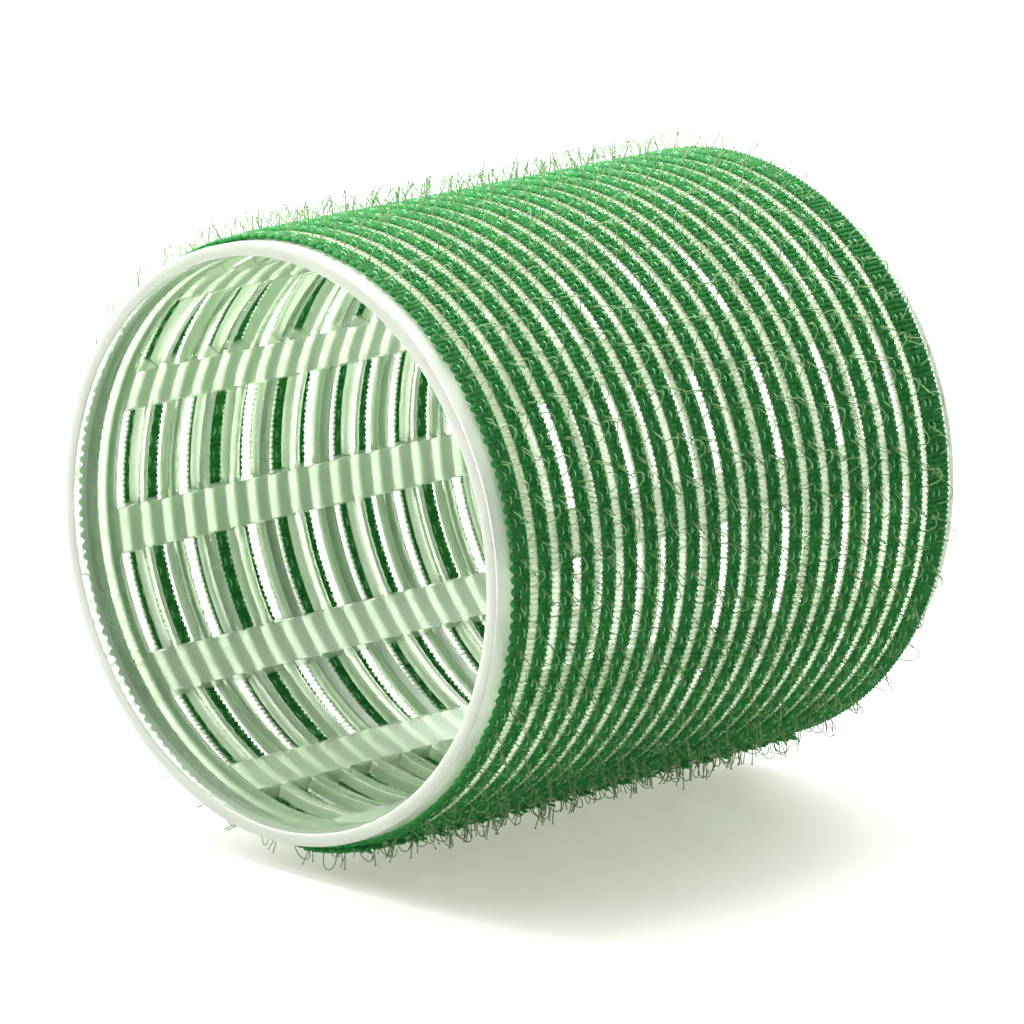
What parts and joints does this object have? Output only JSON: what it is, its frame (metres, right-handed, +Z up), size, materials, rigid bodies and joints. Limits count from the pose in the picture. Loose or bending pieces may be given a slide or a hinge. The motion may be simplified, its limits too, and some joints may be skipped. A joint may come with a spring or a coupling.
{
  "type": "self-grip hair roller",
  "caption": "Open tubular hair roller: a slotted translucent plastic core wrapped in a woven hook tape with green warp bands.",
  "frame": {"origin": "under the middle of the roller, on the plane that it rests on when it lies on its lap seam", "axes": "+Y along the roller's axis, from its front mouth to its rear mouth, +Z up, +X across"},
  "size_m": [0.0614, 0.0668, 0.0622],
  "materials": {
    "milky_plastic": "natural translucent moulded plastic, satin",
    "natural_yarn": "undyed woven weft yarn",
    "green_yarn": "green woven warp yarn with small glints"
  },
  "bodies": {
    "root": {"core": "milky_plastic", "weft_ground": "natural_yarn", "front_selvedge": "green_yarn", "rear_selvedge": "green_yarn", "warp_band_01": "green_yarn", "warp_band_02": "green_yarn", "warp_band_03": "green_yarn", "warp_band_04": "green_yarn", "warp_band_05": "green_yarn", "warp_band_06": "green_yarn", "warp_band_07": "green_yarn", "warp_band_08": "green_yarn", "warp_band_09": "green_yarn", "warp_band_10": "green_yarn", "warp_band_11": "green_yarn", "warp_band_12": "green_yarn", "warp_band_13": "green_yarn", "warp_band_14": "green_yarn", "warp_band_15": "green_yarn", "warp_band_16": "green_yarn", "warp_band_17": "green_yarn", "warp_band_18": "green_yarn", "warp_band_19": "green_yarn", "lap_seam": "green_yarn"}
  },
  "joints": []
}
